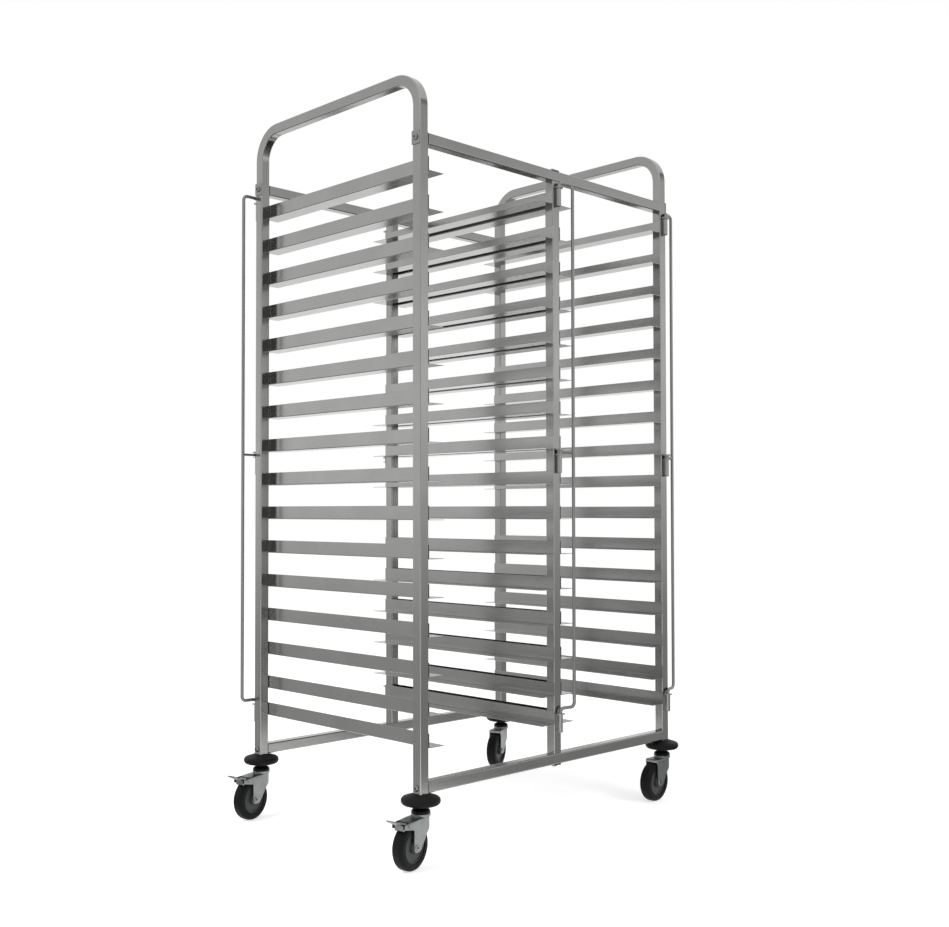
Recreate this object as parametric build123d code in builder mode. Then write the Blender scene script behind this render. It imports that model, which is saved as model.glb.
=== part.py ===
from build123d import *
import math
import os

# Square tube frame, all sizes in millimetres, floor at z = 0
frame_length = 890.0
frame_depth = 600.0
post_length = 1410.0
tube_size = 25.0
tube_wall = 1.2
tube_corner = 3.0

# End handles, slightly narrower tube than the posts
handle_rise = 137.5
handle_tube = 24.0
handle_bend = 68.0
spigot_depth = 35.0
spigot_rise = 40.0

# Bolted joints of the knock-down frame
bolt_diameter = 8.0
bolt_length = 45.0
bolt_head_diameter = 14.0
bolt_head_height = 4.2
bolt_head_crown = 3.4
bolt_socket_width = 5.0
bolt_socket_depth = 2.6
joint_plate_height = 30.0
joint_plate_thickness = 2.0
joint_plate_corner = 2.0
middle_plate_thickness = 2.5
plug_length = 22.0
plug_clearance = 0.05
thread_clearance = 0.05
bolt_clearance = 0.2

# Angle runners that the trays slide on
tier_count = 16
first_tier_rise = 52.5
last_tier_drop = 56.5
lowest_tier_lift = 17.0
runner_sheet = 1.2
runner_web = 30.6
runner_flange = 44.0
runner_bend = 1.0

# Stop rods and their sockets
rod_diameter = 8.0
rod_reach = 45.0
rod_bend = 11.0
rod_pin_depth = 36.0
rod_running_gap = 0.1
rod_seat_gap = 0.3
rod_middle_arm_diameter = 6.0
rod_collar_diameter = 13.0
rod_collar_height = 8.4
hinge_offset = 7.5
bottom_socket_rise = 120.5
middle_socket_drop = 12.0
top_socket_drop = 41.5
socket_diameter = 12.0
socket_height = 45.0
socket_root_width = 9.0
socket_end_chamfer = 1.2
socket_lip_diameter = 22.0
socket_lip_thickness = 2.0
keeper_thickness = 4.0
front_middle_rod_angle = -7.1
front_right_rod_angle = 16.9
rear_left_rod_angle = 182.4
rear_middle_rod_angle = 25.0

# Caster wheels
wheel_radius = 50.0
tyre_width = 28.0
tyre_shoulder = 9.0
tyre_bond_gap = 0.05
hub_radius = 34.0
hub_width = 22.0
hub_rim = 3.0
hub_dish = 2.5
hub_boss_diameter = 26.0
hub_boss_width = 31.0
hub_running_gap = 0.08
sleeve_diameter = 12.0
sleeve_end_gap = 0.05
axle_diameter = 8.0
axle_bore = 5.0
axle_head_diameter = 13.0
axle_head_height = 2.0
pin_fit_gap = 0.05

# Caster forks, pressed from sheet: reaches run from the axle, drops from the top
caster_trail = 38.0
fork_width = 37.0
fork_sheet = 2.5
fork_roof_gap = 5.3
fork_top_bend = 3.0
fork_nose_drop = 19.8
fork_cheek_drop = 31.8
fork_leg_front_reach = 12.5
fork_leg_front_bend = 11.0
fork_leg_back_reach = 9.5
fork_leg_back_bend = 9.0
fork_leg_bottom_drop = 10.5
fork_hood_start_reach = 12.0
fork_rear_bend = 4.0
fork_skirt_drop = 7.5
braked_hood_reach = 40.0
braked_hood_fall = 3.0
braked_hood_low_drop = 14.0
braked_hood_root_drop = 20.0
braked_notch_reach = 19.5
crown_diameter = 42.0
crown_sink = 1.3
crown_rise = 4.9
crown_chamfer = 1.0

# Swivel head, stem and foot insert
kingpin_diameter = 12.0
kingpin_gap = 0.15
kingpin_head_diameter = 24.0
kingpin_head_height = 2.7
race_gap = 0.5
race_diameter = 34.0
race_thickness = 4.3
ball_diameter = 4.0
ball_gap = 0.1
ball_ring_radius = 13.0
balls_per_swivel = 12
stem_shoulder_diameter = 19.0
stem_shoulder_length = 15.0
stem_collar_diameter = 22.0
stem_collar_length = 20.0
stem_diameter = 16.0
stem_length = 38.0
stem_fit_gap = 0.05
foot_insert_length = 45.0

# Dust cap over the swivel bearing and round bumper under the post
cap_diameter = 41.0
cap_skirt_height = 3.4
cap_dome_radius = 17.6
cap_dome_height = 7.2
cap_neck_diameter = 22.4
cap_neck_base_rise = 9.4
cap_gap = 0.4
bumper_diameter = 85.0
bumper_base_rise = 12.0
bumper_lower_bend = 8.4
bumper_corner_drop = 8.0
bumper_upper_bend = 8.0
bumper_top_diameter = 35.0
bumper_top_gap = 0.2

# Brake pedal: its pivot behind the axle and under the fork's top, the rest from the pivot
pedal_pivot_reach = 25.0
pedal_pivot_drop = 8.0
pedal_travel = 10.0
pedal_width = 22.0
pedal_sheet = 3.0
pedal_bend = 8.0
pedal_boss_diameter = 9.0
pedal_dip_reach = 20.0
pedal_dip_rise = 4.2
pedal_tip_reach = 41.0
pedal_tip_rise = 15.0
pedal_shoe_front_reach = 3.0
pedal_shoe_rear_reach = 14.0
pedal_shoe_top_rise = 2.5
pedal_shoe_heel_drop = 9.0
pedal_shoe_toe_reach = 10.0
pedal_shoe_toe_drop = 13.0
pedal_shoe_gap = 0.3
brake_pin_diameter = 5.0
brake_pin_head_diameter = 9.0
brake_pin_head_height = 1.5
brake_pin_gap = 0.08

# How far each caster is turned about its stem, in degrees
front_left_turn = 11.0
front_right_turn = 3.0
rear_left_turn = 12.0
rear_right_turn = 22.0

# Caster places, with the swivel axis at x = 0 and the wheel trailing towards -X
axle_x = -caster_trail
fork_roof = 2 * wheel_radius + fork_roof_gap
fork_top_height = fork_roof + fork_sheet
fork_leg_front = axle_x + fork_leg_front_reach
fork_leg_back = axle_x - fork_leg_back_reach
fork_hood_start = axle_x + fork_hood_start_reach
crown_top_height = fork_top_height + crown_rise
race_base = crown_top_height + race_gap
race_top = race_base + race_thickness
ball_height = crown_top_height + race_gap / 2
bumper_base_height = race_top + bumper_base_rise
stem_shoulder_top = race_top + stem_shoulder_length
post_foot_height = stem_shoulder_top + stem_collar_length
inner_width = fork_width - 2 * fork_sheet
pedal_pivot_x = axle_x - pedal_pivot_reach
pedal_pivot_height = fork_top_height - pedal_pivot_drop
pedal_tip_x = pedal_pivot_x - pedal_tip_reach

# Frame places, with the trolley's outermost points as far out on the left as on the right
tube_inside = tube_size - 2 * tube_wall
tube_inside_corner = tube_corner - tube_wall
bolt_hole_radius = bolt_diameter / 2 + bolt_clearance
thread_radius = bolt_diameter / 2 + thread_clearance
rod_side_reach = rod_reach * math.cos(math.radians(front_right_rod_angle)) + rod_diameter / 2
frame_x = (-pedal_tip_x - rod_side_reach) / 2
post_top_height = post_foot_height + post_length
left_post_x = frame_x - (frame_length - tube_size) / 2
right_post_x = frame_x + (frame_length - tube_size) / 2
row_y = (frame_depth - tube_size) / 2
bottom_rail_z = post_foot_height + tube_size / 2
top_rail_z = post_top_height - tube_size / 2
rail_length = frame_length - 2 * tube_size
end_columns = {"left": left_post_x, "right": right_post_x}
rows = {"front": -row_y, "rear": row_y}
sides = {"left": -1, "right": 1}


def save(piece, name):
    piece.part.label = name
    export_step(piece.part, f"parts/{name}.step")


def outward_x(side, x, y, z):
    # Plane whose normal points away from the middle of the frame along X
    return Plane(origin=(x, y, z), x_dir=(0, 1, 0), z_dir=(sides[side], 0, 0))


os.makedirs("parts", exist_ok=True)

# Section of the frame tube
with BuildSketch() as tube_section:
    RectangleRounded(tube_size, tube_size, tube_corner)
    RectangleRounded(tube_inside, tube_inside, tube_inside_corner, mode=Mode.SUBTRACT)

# End posts, each with a bolt hole level with both rails
for column, x in end_columns.items():
    for row, y in rows.items():
        with BuildPart() as post:
            with BuildSketch(Plane((x, y, post_foot_height))):
                add(tube_section.sketch)
            extrude(amount=post_top_height - post_foot_height)
            for height in (bottom_rail_z, top_rail_z):
                with BuildSketch(outward_x(column, x, y, height)):
                    Circle(bolt_hole_radius)
                extrude(amount=tube_size, both=True, mode=Mode.SUBTRACT)
        save(post, f"{row}_{column}_post")

# Rails along the front and the rear, bolted to the middle posts half way
for row, y in rows.items():
    for level, z in (("bottom", bottom_rail_z), ("top", top_rail_z)):
        with BuildPart() as rail:
            with BuildSketch(Plane(origin=(frame_x, y, z), x_dir=(0, 1, 0), z_dir=(1, 0, 0))):
                add(tube_section.sketch)
            extrude(amount=rail_length / 2, both=True)
            with BuildSketch(Plane((frame_x, y, z))):
                Circle(bolt_hole_radius)
            extrude(amount=tube_size, both=True, mode=Mode.SUBTRACT)
        save(rail, f"{row}_{level}_rail")

# Middle posts between the rails
middle_post_base = post_foot_height + tube_size
middle_post_end = post_top_height - tube_size
for row, y in rows.items():
    with BuildPart() as middle_post:
        with BuildSketch(Plane((frame_x, y, middle_post_base))):
            add(tube_section.sketch)
        extrude(amount=middle_post_end - middle_post_base)
    save(middle_post, f"{row}_middle_post")

# End handles, bent from one tube
handle_inside = handle_tube - 2 * tube_wall
handle_axis_height = post_top_height + handle_rise - handle_tube / 2
for column, x in end_columns.items():
    with BuildPart() as handle:
        with BuildLine() as handle_path:
            FilletPolyline(
                (x, -row_y, post_top_height),
                (x, -row_y, handle_axis_height),
                (x, row_y, handle_axis_height),
                (x, row_y, post_top_height),
                radius=handle_bend,
            )
        with BuildSketch(Plane((x, -row_y, post_top_height))):
            RectangleRounded(handle_tube, handle_tube, tube_corner)
            RectangleRounded(
                handle_inside, handle_inside, tube_inside_corner, mode=Mode.SUBTRACT
            )
        sweep(path=handle_path.line)
    save(handle, f"{column}_handle")

# Spigots that join each handle leg to its post
spigot_base_size = tube_inside - 2 * plug_clearance
spigot_neck_size = handle_inside - 2 * plug_clearance
with BuildPart() as spigots:
    for column, x in end_columns.items():
        for y in rows.values():
            with BuildSketch(Plane((x, y, post_top_height))):
                RectangleRounded(spigot_base_size, spigot_base_size, tube_inside_corner)
            extrude(amount=-spigot_depth)
            with BuildSketch(Plane((x, y, post_top_height))):
                RectangleRounded(spigot_neck_size, spigot_neck_size, tube_inside_corner)
            extrude(amount=spigot_rise)
            with BuildSketch(outward_x(column, x, y, top_rail_z)):
                Circle(bolt_hole_radius)
            extrude(amount=tube_size, both=True, mode=Mode.SUBTRACT)
save(spigots, "handle_spigots")

# Plates over the joints between posts, handles and top rails
with BuildPart() as joint_plates:
    for column, x in end_columns.items():
        outer_face = x + sides[column] * tube_size / 2
        for y in rows.values():
            with BuildSketch(outward_x(column, outer_face, y, top_rail_z)):
                RectangleRounded(tube_size, joint_plate_height, joint_plate_corner)
                Circle(bolt_hole_radius, mode=Mode.SUBTRACT)
            extrude(amount=joint_plate_thickness)
save(joint_plates, "handle_joint_plates")

# Square plates above and below the rails at the middle posts
with BuildPart() as middle_plates:
    for y in rows.values():
        for seat, direction in ((post_top_height, 1), (post_foot_height, -1)):
            with BuildSketch(Plane(origin=(frame_x, y, seat), z_dir=(0, 0, direction))):
                RectangleRounded(tube_size, tube_size, joint_plate_corner)
                Circle(bolt_hole_radius, mode=Mode.SUBTRACT)
            extrude(amount=middle_plate_thickness)
save(middle_plates, "middle_post_plates")

# One button head bolt, its head resting on z = 0
with BuildPart() as bolt:
    with BuildSketch():
        Circle(bolt_head_diameter / 2)
    extrude(amount=bolt_head_height)
    fillet(bolt.edges().sort_by(Axis.Z)[-1], radius=bolt_head_crown)
    with BuildSketch(Plane.XY.offset(bolt_head_height)):
        RegularPolygon(bolt_socket_width / 2, 6, major_radius=False)
    extrude(amount=-bolt_socket_depth, mode=Mode.SUBTRACT)
    with BuildSketch():
        Circle(bolt_diameter / 2)
    extrude(amount=-bolt_length)

# One threaded plug, its outer end at z = 0
with BuildPart() as plug:
    with BuildSketch():
        RectangleRounded(spigot_base_size, spigot_base_size, tube_inside_corner)
        Circle(thread_radius, mode=Mode.SUBTRACT)
    extrude(amount=-plug_length)

# Bolts through the end posts into the rails
with BuildPart() as rail_bolts:
    for column, x in end_columns.items():
        outer_face = x + sides[column] * tube_size / 2
        plate_face = outer_face + sides[column] * joint_plate_thickness
        for y in rows.values():
            for head_x, z in ((outer_face, bottom_rail_z), (plate_face, top_rail_z)):
                with Locations(outward_x(column, head_x, y, z)):
                    add(bolt.part)
save(rail_bolts, "rail_bolts")

# Bolts through the rails into the middle posts
with BuildPart() as middle_bolts:
    for y in rows.values():
        for seat, direction in ((post_top_height, 1), (post_foot_height, -1)):
            head_z = seat + direction * middle_plate_thickness
            with Locations(Plane(origin=(frame_x, y, head_z), z_dir=(0, 0, direction))):
                add(bolt.part)
save(middle_bolts, "middle_post_bolts")

# Plugs in the rail ends and in both ends of the middle posts
with BuildPart() as plugs:
    for column, x in end_columns.items():
        inner_face = x - sides[column] * tube_size / 2
        for y in rows.values():
            for z in (bottom_rail_z, top_rail_z):
                with Locations(outward_x(column, inner_face, y, z)):
                    add(plug.part)
    for y in rows.values():
        for end, direction in ((middle_post_end, 1), (middle_post_base, -1)):
            with Locations(Plane(origin=(frame_x, y, end), z_dir=(0, 0, direction))):
                add(plug.part)
save(plugs, "tube_end_plugs")

# Angle runners, eight to a node, with the web on the post and the flange in the bay
first_tier_height = post_foot_height + tube_size + first_tier_rise
last_tier_height = post_top_height - tube_size - last_tier_drop
tier_pitch = (last_tier_height - first_tier_height) / (tier_count - 1)
tier_heights = [first_tier_height + tier_pitch * tier for tier in range(tier_count)]
tier_heights[0] += lowest_tier_lift
half_count = tier_count // 2
tier_groups = {"lower": tier_heights[:half_count], "upper": tier_heights[half_count:]}
with BuildSketch() as runner_section:
    with BuildLine():
        FilletPolyline(
            (runner_sheet / 2, runner_web),
            (runner_sheet / 2, runner_sheet / 2),
            (runner_flange, runner_sheet / 2),
            radius=runner_bend + runner_sheet / 2,
        )
        offset(amount=runner_sheet / 2, kind=Kind.INTERSECTION)
    make_face()
post_inner_left = left_post_x + tube_size / 2
post_inner_right = right_post_x - tube_size / 2
middle_left = frame_x - tube_size / 2
middle_right = frame_x + tube_size / 2
runner_lines = {
    "left_bay_left": (post_inner_left, 1),
    "left_bay_right": (middle_left, -1),
    "right_bay_left": (middle_right, 1),
    "right_bay_right": (post_inner_right, -1),
}
for line, (web_x, direction) in runner_lines.items():
    for group, heights in tier_groups.items():
        with BuildPart() as runners:
            for z in heights:
                plane = Plane(origin=(web_x, 0, z), x_dir=(direction, 0, 0), z_dir=(0, -direction, 0))
                with BuildSketch(plane):
                    add(runner_section.sketch)
                extrude(amount=frame_depth / 2, both=True)
        save(runners, f"{line}_{group}_runners")

# Sockets welded to the outer faces of four posts, in which the stop rods turn
rod_places = {
    "front_middle": (frame_x, "front", front_middle_rod_angle),
    "front_right": (right_post_x, "front", front_right_rod_angle),
    "rear_left": (left_post_x, "rear", rear_left_rod_angle),
    "rear_middle": (frame_x, "rear", rear_middle_rod_angle),
}
bottom_socket_top = post_foot_height + bottom_socket_rise
top_socket_top = post_top_height - top_socket_drop
middle_socket_top = (bottom_socket_top + top_socket_top) / 2 - middle_socket_drop
hinge_y = frame_depth / 2 + hinge_offset
hinge_rows = {"front": -hinge_y, "rear": hinge_y}
socket_turns = {"front": 0, "rear": 180}
with BuildSketch() as lip_section:
    Circle(socket_lip_diameter / 2)
    with Locations((0, hinge_offset + socket_lip_diameter / 2)):
        Rectangle(socket_lip_diameter, socket_lip_diameter, mode=Mode.SUBTRACT)
with BuildPart() as socket:
    with BuildSketch():
        Circle(socket_diameter / 2)
        with Locations((0, hinge_offset / 2)):
            Rectangle(socket_root_width, hinge_offset)
    extrude(amount=-socket_height)
    lower_edges = socket.edges().group_by(Axis.Z)[0]
    chamfer(lower_edges.filter_by(GeomType.CIRCLE), length=socket_end_chamfer)
    with BuildSketch():
        add(lip_section.sketch)
    extrude(amount=-socket_lip_thickness)
    with BuildSketch():
        Circle(rod_diameter / 2 + rod_running_gap)
    extrude(amount=-socket_height, mode=Mode.SUBTRACT)
with BuildPart() as sockets:
    for x, row, angle in rod_places.values():
        for top in (bottom_socket_top, middle_socket_top, top_socket_top):
            with Locations(Location((x, hinge_rows[row], top), (0, 0, socket_turns[row]))):
                add(socket.part)
save(sockets, "rod_sockets")

# Keepers welded above the middle sockets, so that no rod can be lifted out
collar_base = middle_socket_top + rod_seat_gap
keeper_base = collar_base + rod_collar_height + rod_seat_gap
keeper_top = keeper_base + keeper_thickness
with BuildPart() as keeper:
    with BuildSketch():
        add(lip_section.sketch)
        Circle(rod_diameter / 2 + rod_running_gap, mode=Mode.SUBTRACT)
    extrude(amount=keeper_thickness)
with BuildPart() as keepers:
    for x, row, angle in rod_places.values():
        with Locations(Location((x, hinge_rows[row], keeper_base), (0, 0, socket_turns[row]))):
            add(keeper.part)
save(keepers, "rod_keepers")

# Stop rods, each bent into a pin at both ends, with a welded arm and collar half way
top_arm_height = top_socket_top + rod_seat_gap + rod_bend
bottom_arm_height = bottom_socket_top + rod_seat_gap + rod_bend
middle_arm_height = collar_base + rod_collar_height / 2
top_pin_end = top_socket_top + rod_seat_gap - rod_pin_depth
bottom_pin_end = bottom_socket_top + rod_seat_gap - rod_pin_depth
for name, (x, row, angle) in rod_places.items():
    y = hinge_rows[row]
    arm = (math.cos(math.radians(angle)), math.sin(math.radians(angle)), 0)
    across = (arm[1], -arm[0], 0)
    with BuildPart() as stop_rod:
        with BuildLine(Plane(origin=(x, y, 0), x_dir=arm, z_dir=across)) as rod_path:
            FilletPolyline(
                (0, bottom_pin_end),
                (0, bottom_arm_height),
                (rod_reach, bottom_arm_height),
                (rod_reach, top_arm_height),
                (0, top_arm_height),
                (0, top_pin_end),
                radius=rod_bend,
            )
        with BuildSketch(Plane((x, y, bottom_pin_end))):
            Circle(rod_diameter / 2)
        sweep(path=rod_path.line)
        with BuildSketch(Plane((x, y, collar_base))):
            Circle(rod_collar_diameter / 2)
        extrude(amount=rod_collar_height)
        with BuildSketch(Plane((x, y, keeper_top))):
            Circle(rod_diameter / 2)
        extrude(amount=collar_base - rod_pin_depth - keeper_top)
        with BuildSketch(Plane(origin=(x, y, middle_arm_height), x_dir=across, z_dir=arm)):
            Circle(rod_middle_arm_diameter / 2)
        extrude(amount=rod_reach)
    save(stop_rod, f"{name}_stop_rod")

# Caster places and how far each one is turned about its stem
caster_places = {
    "front_left": Location((left_post_x, -row_y, 0), (0, 0, front_left_turn)),
    "front_right": Location((right_post_x, -row_y, 0), (0, 0, front_right_turn)),
    "rear_left": Location((left_post_x, row_y, 0), (0, 0, rear_left_turn)),
    "rear_right": Location((right_post_x, row_y, 0), (0, 0, rear_right_turn)),
}
braked_casters = ("front_left", "rear_left")


def sort_near(shape, x, y):
    return shape.vertices().sort_by_distance((x, y, 0))[0]


def plan_view(width, rear):
    # Round nose about the swivel axis, straight sides running back
    Circle(width / 2)
    Rectangle(-rear, width, align=(Align.MAX, Align.CENTER))


def cut_across(x, height, diameter):
    with Locations((x, 0, height)):
        Cylinder(diameter / 2, 2 * fork_width, rotation=(90, 0, 0), mode=Mode.SUBTRACT)


def make_fork(rear, hollow_rear, rear_fall, low_drop, root_drop):
    rear_top = fork_top_height - rear_fall
    leg_bottom = wheel_radius - fork_leg_bottom_drop
    with BuildPart() as hollow:
        with BuildSketch(Plane.XZ):
            Polygon(
                (fork_width, 0),
                (fork_width, fork_roof),
                (fork_hood_start, fork_roof),
                (rear, fork_roof - rear_fall),
                (rear, 0),
                align=None,
            )
        extrude(amount=fork_width, both=True)
        with BuildSketch():
            plan_view(inner_width, hollow_rear)
        extrude(amount=2 * fork_top_height, mode=Mode.INTERSECT)
    with BuildPart() as fork:
        with BuildSketch(Plane.XZ) as side:
            Polygon(
                (fork_width / 2, fork_top_height),
                (fork_hood_start, fork_top_height),
                (rear, rear_top),
                (rear, fork_top_height - low_drop),
                (fork_leg_back, fork_top_height - root_drop),
                (fork_leg_back, leg_bottom),
                (fork_leg_front, leg_bottom),
                (0, fork_top_height - fork_cheek_drop),
                (fork_width / 2, fork_top_height - fork_nose_drop),
                align=None,
            )
            fillet(sort_near(side, rear, rear_top), radius=fork_rear_bend)
            fillet(sort_near(side, fork_leg_back, leg_bottom), radius=fork_leg_back_bend)
            fillet(sort_near(side, fork_leg_front, leg_bottom), radius=fork_leg_front_bend)
        extrude(amount=fork_width / 2, both=True)
        with BuildSketch():
            plan_view(fork_width, rear)
        extrude(amount=2 * fork_top_height, mode=Mode.INTERSECT)
        rims = fork.edges().filter_by(lambda edge: edge.center().Z > rear_top - fork_sheet)
        rims = rims.filter_by(Axis.Y, reverse=True).filter_by(Axis.Z, reverse=True)
        fillet(rims, radius=fork_top_bend)
        add(hollow.part, mode=Mode.SUBTRACT)
        with BuildSketch(Plane.XY.offset(fork_top_height - crown_sink)):
            Circle(crown_diameter / 2)
        extrude(amount=crown_sink + crown_rise)
        crown_rim = fork.edges().filter_by_position(Axis.Z, crown_top_height, crown_top_height)
        chamfer(crown_rim.filter_by(GeomType.CIRCLE), length=crown_chamfer)
        with BuildSketch(Plane.XY.offset(fork_roof)):
            Circle(kingpin_diameter / 2 + kingpin_gap)
        extrude(amount=crown_top_height - fork_roof, mode=Mode.SUBTRACT)
        with Locations((0, 0, ball_height)):
            Torus(ball_ring_radius, ball_diameter / 2 + ball_gap, mode=Mode.SUBTRACT)
        cut_across(axle_x, wheel_radius, axle_diameter + 2 * pin_fit_gap)
    return fork


# Plain fork, closed behind the wheel by a short skirt
skirt_rear = fork_leg_back - fork_sheet
plain_fork = make_fork(skirt_rear, fork_leg_back, 0, fork_skirt_drop, fork_skirt_drop)

# Braked fork, its cheeks drawn back on both sides of the pedal
hood_rear = axle_x - braked_hood_reach
notch_x = axle_x - braked_notch_reach
with BuildPart() as braked_fork:
    braked_drops = (braked_hood_fall, braked_hood_low_drop, braked_hood_root_drop)
    add(make_fork(hood_rear, hood_rear, *braked_drops).part)
    with BuildSketch():
        with Locations((notch_x, 0)):
            Rectangle(notch_x - hood_rear, inner_width, align=(Align.MAX, Align.CENTER))
    extrude(amount=2 * fork_top_height, mode=Mode.SUBTRACT)
    cut_across(pedal_pivot_x, pedal_pivot_height, brake_pin_diameter + 2 * pin_fit_gap)


def make_rivet(x, height, diameter, head_diameter, head_height):
    with BuildPart() as rivet:
        with BuildSketch(Plane.XZ):
            with Locations((x, height)):
                Circle(diameter / 2)
        extrude(amount=fork_width / 2, both=True)
        for direction in (1, -1):
            with BuildSketch(Plane.XZ.offset(direction * fork_width / 2)):
                with Locations((x, height)):
                    Circle(head_diameter / 2)
            extrude(amount=direction * head_height, taper=20)
    return rivet


# Hollow axle rivet with a spacer sleeve round it
with BuildPart() as axle:
    add(
        make_rivet(
            axle_x, wheel_radius, axle_diameter, axle_head_diameter, axle_head_height
        ).part
    )
    cut_across(axle_x, wheel_radius, axle_bore)
    with BuildSketch(Plane.XZ):
        with Locations((axle_x, wheel_radius)):
            Circle(sleeve_diameter / 2)
            Circle(axle_diameter / 2 + pin_fit_gap, mode=Mode.SUBTRACT)
    extrude(amount=inner_width / 2 - sleeve_end_gap, both=True)

brake_pin = make_rivet(
    pedal_pivot_x,
    pedal_pivot_height,
    brake_pin_diameter,
    brake_pin_head_diameter,
    brake_pin_head_height,
)

# Hub with a dished face on both sides
with BuildPart() as hub:
    for radius, width in ((hub_radius, hub_width), (hub_boss_diameter / 2, hub_boss_width)):
        with BuildSketch(Plane.XZ):
            with Locations((axle_x, wheel_radius)):
                Circle(radius)
        extrude(amount=width / 2, both=True)
    for direction in (1, -1):
        with BuildSketch(Plane.XZ.offset(direction * hub_width / 2)):
            with Locations((axle_x, wheel_radius)):
                Circle(hub_radius - hub_rim)
                Circle(hub_boss_diameter / 2, mode=Mode.SUBTRACT)
        extrude(amount=-direction * hub_dish, mode=Mode.SUBTRACT)
    cut_across(axle_x, wheel_radius, sleeve_diameter + 2 * hub_running_gap)

# Tyre with rounded shoulders
with BuildPart() as tyre:
    with BuildSketch(Plane.XZ):
        with Locations((axle_x, wheel_radius)):
            Circle(wheel_radius)
    extrude(amount=tyre_width / 2, both=True)
    fillet(tyre.edges().filter_by(GeomType.CIRCLE), radius=tyre_shoulder)
    cut_across(axle_x, wheel_radius, 2 * (hub_radius + tyre_bond_gap))

# Brake pedal with a shoe that meets the tread at the end of its travel
travel = math.radians(pedal_travel)
wheel_across = axle_x - pedal_pivot_x
wheel_up = wheel_radius - pedal_pivot_height
pressed_wheel_x = pedal_pivot_x + wheel_across * math.cos(travel) + wheel_up * math.sin(travel)
pressed_wheel_z = pedal_pivot_height - wheel_across * math.sin(travel) + wheel_up * math.cos(travel)
pedal_shoe_rear = pedal_pivot_x - pedal_shoe_rear_reach
with BuildPart() as pedal:
    with BuildSketch(Plane.XZ):
        with BuildLine():
            FilletPolyline(
                (pedal_pivot_x, pedal_pivot_height),
                (pedal_pivot_x - pedal_dip_reach, pedal_pivot_height + pedal_dip_rise),
                (pedal_tip_x, pedal_pivot_height + pedal_tip_rise),
                radius=pedal_bend,
            )
            offset(amount=pedal_sheet / 2)
        make_face()
        Polygon(
            (pedal_pivot_x - pedal_shoe_front_reach, pedal_pivot_height),
            (pedal_shoe_rear, pedal_pivot_height + pedal_shoe_top_rise),
            (pedal_shoe_rear, pedal_pivot_height - pedal_shoe_heel_drop),
            (pedal_pivot_x - pedal_shoe_toe_reach, pedal_pivot_height - pedal_shoe_toe_drop),
            align=None,
        )
        with Locations((pedal_pivot_x, pedal_pivot_height)):
            Circle(pedal_boss_diameter / 2)
        with Locations((pressed_wheel_x, pressed_wheel_z)):
            Circle(wheel_radius + pedal_shoe_gap, mode=Mode.SUBTRACT)
        with Locations((pedal_pivot_x, pedal_pivot_height)):
            Circle(brake_pin_diameter / 2 + brake_pin_gap, mode=Mode.SUBTRACT)
    extrude(amount=pedal_width / 2, both=True)

for name, place in caster_places.items():
    pieces = {"fork": plain_fork, "axle": axle, "hub": hub, "tyre": tyre}
    if name in braked_casters:
        pieces["fork"] = braked_fork
        pieces["brake_pin"] = brake_pin
        pieces["brake_pedal"] = pedal
    for kind, piece in pieces.items():
        with BuildPart() as placed:
            with Locations(place):
                add(piece.part)
        save(placed, f"{name}_{kind}")

# Stem: riveted head, kingpin, bearing race, collar and shank
with BuildPart() as stem:
    head_top = fork_roof - race_gap
    levels = (
        (head_top - kingpin_head_height, head_top, kingpin_head_diameter),
        (head_top, race_base, kingpin_diameter),
        (race_base, race_top, race_diameter),
        (race_top, stem_shoulder_top, stem_shoulder_diameter),
        (stem_shoulder_top, post_foot_height, stem_collar_diameter),
        (post_foot_height, post_foot_height + stem_length, stem_diameter),
    )
    for base, top, diameter in levels:
        with BuildSketch(Plane.XY.offset(base)):
            Circle(diameter / 2)
        extrude(amount=top - base)
    with Locations((0, 0, ball_height)):
        Torus(ball_ring_radius, ball_diameter / 2 + ball_gap, mode=Mode.SUBTRACT)
    with BuildSketch(Plane.YZ):
        with Locations((0, bottom_rail_z)):
            Circle(bolt_hole_radius)
    extrude(amount=stem_diameter, both=True, mode=Mode.SUBTRACT)

# Bearing balls of one swivel
with BuildPart() as ball_ring:
    with Locations((0, 0, ball_height)):
        with PolarLocations(ball_ring_radius, balls_per_swivel):
            Sphere(ball_diameter / 2)

# Dust cap: skirt, dome and neck round the stem
shoulder_bore = stem_shoulder_diameter / 2 + stem_fit_gap
race_bore = race_diameter / 2 + stem_fit_gap
cap_base = crown_top_height + cap_gap
cap_skirt_top = cap_base + cap_skirt_height
cap_neck_base = cap_base + cap_neck_base_rise
cap_neck_radius = cap_neck_diameter / 2
with BuildPart() as cap:
    with BuildSketch(Plane.XZ):
        with BuildLine():
            Polyline(
                (cap_diameter / 2, cap_skirt_top),
                (cap_diameter / 2, cap_base),
                (race_bore, cap_base),
                (race_bore, race_top + stem_fit_gap),
                (shoulder_bore, race_top + stem_fit_gap),
                (shoulder_bore, bumper_base_height),
                (cap_neck_radius, bumper_base_height),
                (cap_neck_radius, cap_neck_base),
            )
            ThreePointArc(
                (cap_neck_radius, cap_neck_base),
                (cap_dome_radius, cap_base + cap_dome_height),
                (cap_diameter / 2, cap_skirt_top),
            )
        make_face()
    revolve(axis=Axis.Z)

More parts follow.
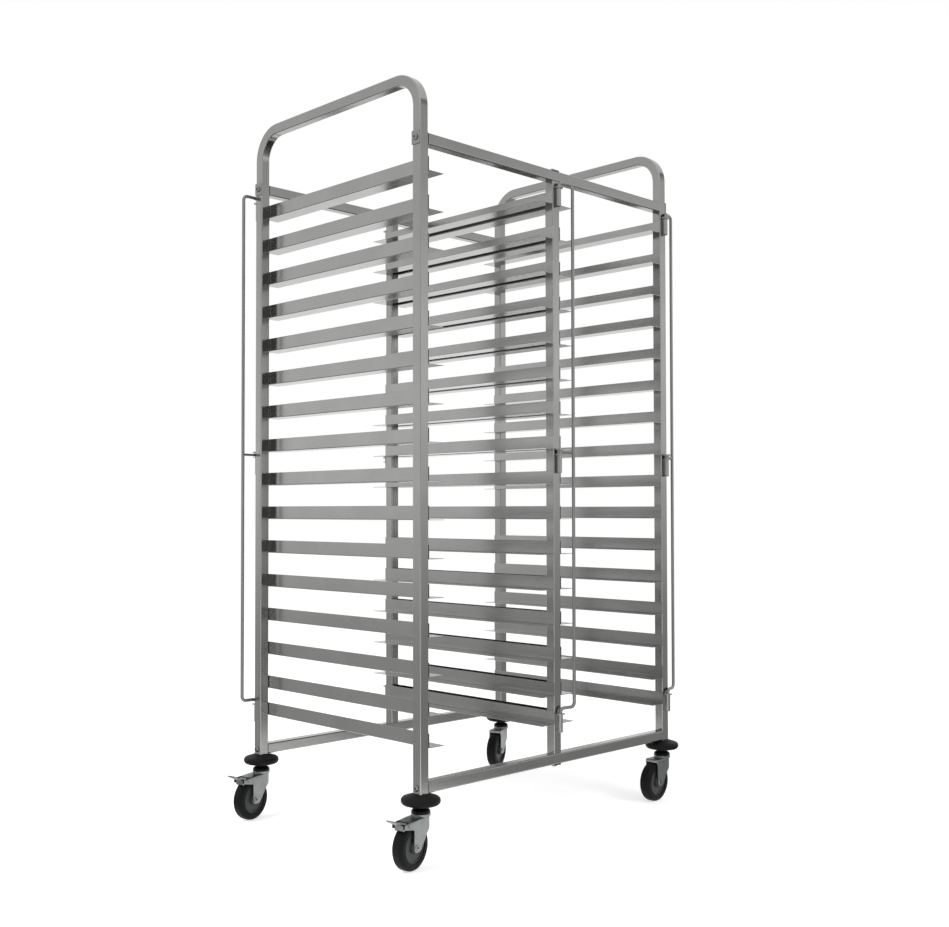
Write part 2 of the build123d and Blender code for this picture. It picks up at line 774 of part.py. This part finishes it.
# Round bumper clamped between the collar of the stem and the cap
collar_bore = stem_collar_diameter / 2 + stem_fit_gap
bumper_radius = bumper_diameter / 2
bumper_top = post_foot_height - bumper_top_gap
bumper_corner_height = post_foot_height - bumper_corner_drop
with BuildPart() as bumper:
    with BuildSketch(Plane.XZ) as bumper_side:
        Polygon(
            (shoulder_bore, bumper_base_height),
            (bumper_radius, bumper_base_height),
            (bumper_radius, bumper_corner_height),
            (bumper_top_diameter / 2, bumper_top),
            (collar_bore, bumper_top),
            (collar_bore, stem_shoulder_top - stem_fit_gap),
            (shoulder_bore, stem_shoulder_top - stem_fit_gap),
            align=None,
        )
        fillet(sort_near(bumper_side, bumper_radius, bumper_base_height), radius=bumper_lower_bend)
        fillet(sort_near(bumper_side, bumper_radius, bumper_corner_height), radius=bumper_upper_bend)
    revolve(axis=Axis.Z)

# Insert in each post foot that takes the stem
with BuildPart() as foot_insert:
    with BuildSketch(Plane.XY.offset(post_foot_height)):
        RectangleRounded(spigot_base_size, spigot_base_size, tube_inside_corner)
        Circle(stem_diameter / 2 + stem_fit_gap, mode=Mode.SUBTRACT)
    extrude(amount=foot_insert_length)
    with BuildSketch(Plane.YZ):
        with Locations((0, bottom_rail_z)):
            Circle(bolt_hole_radius)
    extrude(amount=tube_size, both=True, mode=Mode.SUBTRACT)

corner_pieces = {
    "caster_stems": stem,
    "swivel_balls": ball_ring,
    "dust_caps": cap,
    "bumpers": bumper,
    "foot_inserts": foot_insert,
}
for name, piece in corner_pieces.items():
    with BuildPart() as group:
        for x in end_columns.values():
            for y in rows.values():
                with Locations((x, y, 0)):
                    add(piece.part)
    save(group, name)
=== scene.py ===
import math

import bpy
from mathutils import Euler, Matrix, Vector


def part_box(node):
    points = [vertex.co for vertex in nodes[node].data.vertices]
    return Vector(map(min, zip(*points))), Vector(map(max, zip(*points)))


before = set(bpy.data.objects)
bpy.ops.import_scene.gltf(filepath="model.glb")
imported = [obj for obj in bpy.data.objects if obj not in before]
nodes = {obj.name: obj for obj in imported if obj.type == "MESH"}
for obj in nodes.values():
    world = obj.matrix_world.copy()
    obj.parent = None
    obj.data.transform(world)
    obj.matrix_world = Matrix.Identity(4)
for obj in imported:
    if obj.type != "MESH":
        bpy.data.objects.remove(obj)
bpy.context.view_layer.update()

# Camera solved from the photograph: pixels, metres and radians
IMAGE_WIDTH = 949
IMAGE_HEIGHT = 927
FOCAL_PIXELS = 1189.8
PRINCIPAL_X = 431.13
PRINCIPAL_Y = 480.61
SENSOR = 36.0
CAMERA_FROM_POST = (-1.72065, -1.83694)
CAMERA_HEIGHT = 0.75070
CAMERA_YAW = 0.7618
CAMERA_PITCH = 0.0253
CAMERA_ROLL = 0.0007

# Linear colours
STEEL = (0.34, 0.34, 0.33)
SHEET = (0.36, 0.36, 0.35)
ROD = (0.28, 0.28, 0.28)
BOLT = (0.26, 0.26, 0.26)
ZINC = (0.27, 0.285, 0.28)
PEDAL = (0.22, 0.23, 0.23)
PLATE = (0.30, 0.30, 0.29)
HUB = (0.066, 0.071, 0.070)
TYRE = (0.005, 0.005, 0.005)
BUMPER = (0.008, 0.008, 0.008)
CAP = (0.006, 0.006, 0.006)
BALL = (0.60, 0.60, 0.60)

# Brushed steel, with depths in metres
LINE_SCALE = 900.0
LINE_STRETCH = 0.012
LINE_DEPTH = 0.0002
WAVE_SCALE = 7.0
WAVE_STRENGTH = 0.06
WAVE_DEPTH = 0.004
STEEL_SMUDGE_SCALE = 11.0
STEEL_TINT = 0.05
STEEL_SMOOTHER = 0.03
STEEL_ROUGHER = 0.05

# Zinc plate
MOTTLE_SCALE = 140.0
MOTTLE_STRENGTH = 0.10
MOTTLE_DEPTH = 0.0005
PLATED_SMUDGE_SCALE = 25.0
PLATED_DARKEST = 0.82
PLATED_PALEST = 1.1
PLATED_SMOOTHER = 0.08
PLATED_ROUGHER = 0.10

# Moulded plastic and rubber
GRAIN_SCALE = 1800.0
GRAIN_STRENGTH = 0.25
GRAIN_DEPTH = 0.0004
DUST_SCALE = 40.0
DUST_START = 0.45
DUST_END = 0.8
DUST_TINT = 0.35
MOULDED_SMOOTHER = 0.05
MOULDED_ROUGHER = 0.12

# Floor, which fades to white, and the world's light
FLOOR_HALF = 40.0
FLOOR_PAINT = 0.80
FLOOR_GLOW = 0.58
WORLD_LIGHT = 0.55
WHITE = 1.0

# Cards and mats, seen only in reflections, give painted reflections that make the steel greyer and
# darker than the white world would. Bearings in degrees from +X towards +Y, sizes in metres
CAMERA_SIDE = 225
LEFT = 135
RIGHT = -45
CARD_DISTANCE = 5.5
CARD_WIDTH = 7.0
FLAG_DISTANCE = 5.0
FLAG_WIDTH = 1.6
REFLECTION_MAT_NEAR = 0.6
REFLECTION_MAT_LIFT = 0.002
# Name, bearing, distance, width, foot, head, level at the foot, level at the head
REFLECTION_CARDS = (
    ("dark_reflection_flag", CAMERA_SIDE, FLAG_DISTANCE, FLAG_WIDTH, 0.0, 3.2, 0.06, 0.04),
    ("right_low_reflection_card", RIGHT, CARD_DISTANCE, CARD_WIDTH, 0.0, 1.8, 0.45, 1.15),
    ("right_high_reflection_card", RIGHT, CARD_DISTANCE, CARD_WIDTH, 1.8, 5.0, 1.15, 0.12),
    ("left_low_reflection_card", LEFT, CARD_DISTANCE, CARD_WIDTH, 0.0, 1.0, 0.62, 1.05),
    ("left_high_reflection_card", LEFT, CARD_DISTANCE, CARD_WIDTH, 1.0, 5.0, 1.05, 0.70),
)
# Grey mats seen only in reflections: painted reflections that darken the lower steel in place of the
# white floor
# Name, bearing, level
REFLECTION_MATS = (("left_reflection_mat", LEFT, 0.55), ("right_reflection_mat", RIGHT, 0.42))

# Name, place, size, watts; both point at the middle of the trolley
LAMPS = (
    ("key_light", (-3.4, 0.8, 3.2), (2.0, 2.0), 110),
    ("front_light", (0.5, -4.2, 2.4), (1.6, 2.0), 60),
)
MIDDLE = Vector((0.0, 0.0, 0.85))


class Shader:
    """The nodes of a material or a world, laid out from left to right."""

    def __init__(self, holder, output="ShaderNodeOutputMaterial"):
        holder.use_nodes = True
        self.holder = holder
        self.tree = holder.node_tree
        self.tree.nodes.clear()
        self.output = self.node(output)

    def node(self, kind, **settings):
        made = self.tree.nodes.new(kind)
        for key, value in settings.items():
            setattr(made, key, value)
        made.location = (len(self.tree.nodes) * 180, 0)
        return made

    def link(self, source, target):
        self.tree.links.new(source, target)

    def finish(self, source):
        self.link(source, self.output.inputs["Surface"])

    def place(self):
        return self.node("ShaderNodeTexCoord").outputs["Object"]

    def noise(self, scale, detail, stretch=(1, 1, 1)):
        mapping = self.node("ShaderNodeMapping")
        mapping.inputs["Scale"].default_value = stretch
        self.link(self.place(), mapping.inputs["Vector"])
        noise = self.node("ShaderNodeTexNoise")
        noise.inputs["Scale"].default_value = scale
        noise.inputs["Detail"].default_value = detail
        noise.inputs["Roughness"].default_value = 0.55
        self.link(mapping.outputs["Vector"], noise.inputs["Vector"])
        return noise.outputs["Fac"]

    def spread(self, source, low, high, start=0.3, end=0.7):
        ranged = self.node("ShaderNodeMapRange")
        ranged.inputs["From Min"].default_value = start
        ranged.inputs["From Max"].default_value = end
        ranged.inputs["To Min"].default_value = low
        ranged.inputs["To Max"].default_value = high
        self.link(source, ranged.inputs["Value"])
        return ranged.outputs["Result"]

    def larger(self, first, second):
        made = self.node("ShaderNodeMath", operation="MAXIMUM")
        self.link(first, made.inputs[0])
        self.link(second, made.inputs[1])
        return made.outputs[0]

    def mix_colour(self, factor, low, high):
        # A mix node keeps its colours in sockets 6 and 7, and gives them from socket 2
        mix = self.node("ShaderNodeMix", data_type="RGBA")
        mix.inputs[6].default_value = (*low, 1)
        mix.inputs[7].default_value = (*high, 1)
        self.link(factor, mix.inputs[0])
        return mix.outputs[2]

    def bump(self, height, strength, distance, normal=None):
        bump = self.node("ShaderNodeBump")
        bump.inputs["Strength"].default_value = strength
        bump.inputs["Distance"].default_value = distance
        self.link(height, bump.inputs["Height"])
        if normal is not None:
            self.link(normal, bump.inputs["Normal"])
        return bump.outputs["Normal"]

    def principled(self, metallic, roughness, colour):
        surface = self.node("ShaderNodeBsdfPrincipled")
        surface.inputs["Metallic"].default_value = metallic
        self.link(roughness, surface.inputs["Roughness"])
        self.link(colour, surface.inputs["Base Color"])
        self.finish(surface.outputs["BSDF"])
        return surface

    def glow(self):
        return self.node("ShaderNodeEmission")

    def seen_directly(self):
        """One for rays from the camera, and for those that a mirror or glass sends on."""
        path = self.node("ShaderNodeLightPath")
        seen = self.larger(path.outputs["Is Camera Ray"], path.outputs["Is Glossy Ray"])
        return self.larger(seen, path.outputs["Is Transmission Ray"])


def scaled(colour, factor):
    return tuple(channel * factor for channel in colour)


def new_material(name):
    return Shader(bpy.data.materials.new(name))


def brushed(name, colour, along, roughness=0.17, grain=0.05):
    """Satin steel with brush lines that run along one axis: 0 is X, 1 is Y, 2 is Z."""
    shader = new_material(name)
    stretch = [1.0, 1.0, 1.0]
    stretch[along] = LINE_STRETCH
    lines = shader.noise(LINE_SCALE, 4.0, stretch)
    waves = shader.noise(WAVE_SCALE, 2.0)
    smudges = shader.noise(STEEL_SMUDGE_SCALE, 5.0)
    darker = scaled(colour, 1 - STEEL_TINT)
    paler = scaled(colour, 1 + STEEL_TINT)
    tint = shader.mix_colour(shader.spread(smudges, 0.0, 1.0), darker, paler)
    rough = shader.spread(lines, roughness - STEEL_SMOOTHER, roughness + STEEL_ROUGHER)
    surface = shader.principled(1.0, rough, tint)
    normal = shader.bump(lines, grain, LINE_DEPTH)
    normal = shader.bump(waves, WAVE_STRENGTH, WAVE_DEPTH, normal)
    shader.link(normal, surface.inputs["Normal"])
    return shader.holder


def plated(name, colour, roughness=0.34):
    """Zinc plate with faint crystal mottling."""
    shader = new_material(name)
    mottle = shader.noise(MOTTLE_SCALE, 5.0)
    smudges = shader.noise(PLATED_SMUDGE_SCALE, 3.0)
    darker = scaled(colour, PLATED_DARKEST)
    paler = scaled(colour, PLATED_PALEST)
    tint = shader.mix_colour(shader.spread(smudges, 0.0, 1.0), darker, paler)
    rough = shader.spread(mottle, roughness - PLATED_SMOOTHER, roughness + PLATED_ROUGHER)
    surface = shader.principled(1.0, rough, tint)
    shader.link(shader.bump(mottle, MOTTLE_STRENGTH, MOTTLE_DEPTH), surface.inputs["Normal"])
    return shader.holder


def moulded(name, colour, roughness, specular):
    """Moulded plastic or rubber with a fine grain and dusty patches."""
    shader = new_material(name)
    grain = shader.noise(GRAIN_SCALE, 2.0)
    dust = shader.noise(DUST_SCALE, 6.0)
    dusty = shader.spread(dust, 0.0, 1.0, DUST_START, DUST_END)
    tint = shader.mix_colour(dusty, colour, scaled(colour, 1 + DUST_TINT))
    rough = shader.spread(dust, roughness - MOULDED_SMOOTHER, roughness + MOULDED_ROUGHER)
    surface = shader.principled(0.0, rough, tint)
    surface.inputs["Specular IOR Level"].default_value = specular
    shader.link(shader.bump(grain, GRAIN_STRENGTH, GRAIN_DEPTH), surface.inputs["Normal"])
    return shader.holder


steel_x = brushed("steel_along_x", STEEL, 0)
steel_z = brushed("steel_along_z", STEEL, 2)
steel_y = brushed("steel_along_y", STEEL, 1)
sheet_y = brushed("sheet_along_y", SHEET, 1)
plate = brushed("joint_plate_steel", PLATE, 2)
lip_steel = brushed("lip_steel", STEEL, 2, roughness=0.3, grain=0.02)
rod_steel = brushed("rod_steel", ROD, 2, roughness=0.32, grain=0.02)
bolt_steel = plated("bolt_steel", BOLT, roughness=0.28)
joining = plated("joining_steel", PLATE, roughness=0.45)
zinc = plated("zinc_plate", ZINC)
pedal_zinc = plated("pedal_plate", PEDAL, roughness=0.3)
ball_steel = plated("ball_steel", BALL, roughness=0.12)
hub_plastic = moulded("hub_plastic", HUB, roughness=0.45, specular=0.25)
tyre_rubber = moulded("tyre_rubber", TYRE, roughness=0.5, specular=0.14)
bumper_rubber = moulded("bumper_rubber", BUMPER, roughness=0.5, specular=0.14)
cap_plastic = moulded("cap_plastic", CAP, roughness=0.35, specular=0.15)

MATERIAL_BY_ENDING = {
    "_post": steel_z,
    "_rail": steel_x,
    "_handle": steel_y,
    "_runners": sheet_y,
    "_stop_rod": rod_steel,
    "_fork": zinc,
    "_pedal": pedal_zinc,
    "_axle": bolt_steel,
    "_brake_pin": bolt_steel,
    "_hub": hub_plastic,
    "_tyre": tyre_rubber,
}
MATERIAL_BY_NAME = {
    "handle_joint_plates": plate,
    "middle_post_plates": plate,
    "rail_bolts": bolt_steel,
    "middle_post_bolts": bolt_steel,
    "handle_spigots": joining,
    "tube_end_plugs": joining,
    "foot_inserts": joining,
    "caster_stems": zinc,
    "dust_caps": cap_plastic,
    "bumpers": bumper_rubber,
    "swivel_balls": ball_steel,
    "rod_sockets": lip_steel,
    "rod_keepers": lip_steel,
}


def material_for(name):
    for ending, material in MATERIAL_BY_ENDING.items():
        if name.endswith(ending):
            return material
    return MATERIAL_BY_NAME[name]


for name in nodes:
    for slot in nodes[name].material_slots:
        slot.material = material_for(name)


def flat_sheet(name, corners, shader):
    mesh = bpy.data.meshes.new(name)
    mesh.from_pydata(corners, [], [(0, 1, 2, 3)])
    mesh.materials.append(shader.holder)
    sheet = bpy.data.objects.new(name, mesh)
    bpy.context.scene.collection.objects.link(sheet)
    return sheet


def mirrored_only(sheet):
    """Hide a sheet from everything but reflections."""
    sheet.visible_camera = False
    sheet.visible_diffuse = False
    sheet.visible_shadow = False
    sheet.visible_transmission = False


def bearing_vectors(bearing):
    """Unit vectors out along a bearing and to its side."""
    turn = math.radians(bearing)
    return Vector((math.cos(turn), math.sin(turn), 0)), Vector((-math.sin(turn), math.cos(turn), 0))


def reflection_only_card(name, bearing, distance, width, foot, head, foot_level, head_level):
    """An upright card, seen only in reflections, that glows paler or darker from its foot to its
    head: a painted reflection that shades the steel by height.
    """
    shader = new_material(name)
    place = shader.node("ShaderNodeSeparateXYZ")
    shader.link(shader.place(), place.inputs[0])
    glow = shader.glow()
    level = shader.spread(place.outputs["Z"], foot_level, head_level, foot, head)
    shader.link(level, glow.inputs["Strength"])
    shader.finish(glow.outputs[0])
    out, side = bearing_vectors(bearing)
    first = out * distance - side * width / 2
    second = out * distance + side * width / 2
    low = Vector((0, 0, foot))
    high = Vector((0, 0, head))
    mirrored_only(flat_sheet(name, [first + low, second + low, second + high, first + high], shader))


def reflection_only_mat(name, bearing, level):
    """A grey mat just over the floor, from the trolley out to the card on its bearing, seen only in
    reflections: a painted reflection that darkens the lower steel where it would mirror the white
    floor.
    """
    shader = new_material(name)
    glow = shader.glow()
    glow.inputs["Strength"].default_value = level
    shader.finish(glow.outputs[0])
    out, side = bearing_vectors(bearing)
    lift = Vector((0, 0, REFLECTION_MAT_LIFT))
    near = out * REFLECTION_MAT_NEAR + lift
    far = out * CARD_DISTANCE + lift
    half = side * CARD_WIDTH / 2
    mirrored_only(flat_sheet(name, [near - half, far - half, far + half, near + half], shader))


def lamp(name, place, size, watts):
    data = bpy.data.lights.new(name, "AREA")
    data.shape = "RECTANGLE"
    data.size, data.size_y = size
    data.energy = watts
    made = bpy.data.objects.new(name, data)
    made.location = place
    made.rotation_euler = (MIDDLE - Vector(place)).to_track_quat("-Z", "Y").to_euler()
    made.visible_glossy = False
    bpy.context.scene.collection.objects.link(made)


# Pale floor that keeps the shadow and fades to white
shader = new_material("floor_white")
paint = shader.node("ShaderNodeBsdfDiffuse")
paint.inputs["Color"].default_value = (FLOOR_PAINT, FLOOR_PAINT, FLOOR_PAINT, 1)
glow = shader.glow()
glow_level = shader.spread(shader.seen_directly(), 0.0, FLOOR_GLOW, 0.0, 1.0)
shader.link(glow_level, glow.inputs["Strength"])
both = shader.node("ShaderNodeAddShader")
shader.link(paint.outputs[0], both.inputs[0])
shader.link(glow.outputs[0], both.inputs[1])
shader.finish(both.outputs[0])
corner_signs = ((-1, -1), (1, -1), (1, 1), (-1, 1))
flat_sheet("floor", [(FLOOR_HALF * x, FLOOR_HALF * y, 0) for x, y in corner_signs], shader)

# World: white to the camera and in reflections, softer as a lamp
world = bpy.data.worlds.new("studio")
bpy.context.scene.world = world
shader = Shader(world, "ShaderNodeOutputWorld")
background = shader.node("ShaderNodeBackground")
background.inputs["Color"].default_value = (WHITE, WHITE, WHITE, 1)
world_level = shader.spread(shader.seen_directly(), WORLD_LIGHT, WHITE, 0.0, 1.0)
shader.link(world_level, background.inputs["Strength"])
shader.finish(background.outputs[0])

# Cards and mats seen only in reflections: painted reflections that shade the steel
for card in REFLECTION_CARDS:
    reflection_only_card(*card)
for mat in REFLECTION_MATS:
    reflection_only_mat(*mat)
for light in LAMPS:
    lamp(*light)

camera_data = bpy.data.cameras.new("camera")
camera_data.sensor_width = SENSOR
camera_data.lens = FOCAL_PIXELS * SENSOR / IMAGE_WIDTH
camera_data.shift_x = (IMAGE_WIDTH / 2 - PRINCIPAL_X) / IMAGE_WIDTH
camera_data.shift_y = (PRINCIPAL_Y - IMAGE_HEIGHT / 2) / IMAGE_WIDTH
camera = bpy.data.objects.new("camera", camera_data)
post_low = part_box("front_left_post")[0]
camera.location = (
    post_low[0] + CAMERA_FROM_POST[0],
    post_low[1] + CAMERA_FROM_POST[1],
    CAMERA_HEIGHT,
)
turn = Euler((math.pi / 2 + CAMERA_PITCH, 0, -CAMERA_YAW), "XYZ").to_matrix()
roll = Euler((0, 0, -CAMERA_ROLL), "XYZ").to_matrix()
camera.rotation_euler = (turn @ roll).to_euler()
bpy.context.scene.collection.objects.link(camera)
bpy.context.scene.camera = camera
bpy.context.scene.view_settings.view_transform = "Standard"
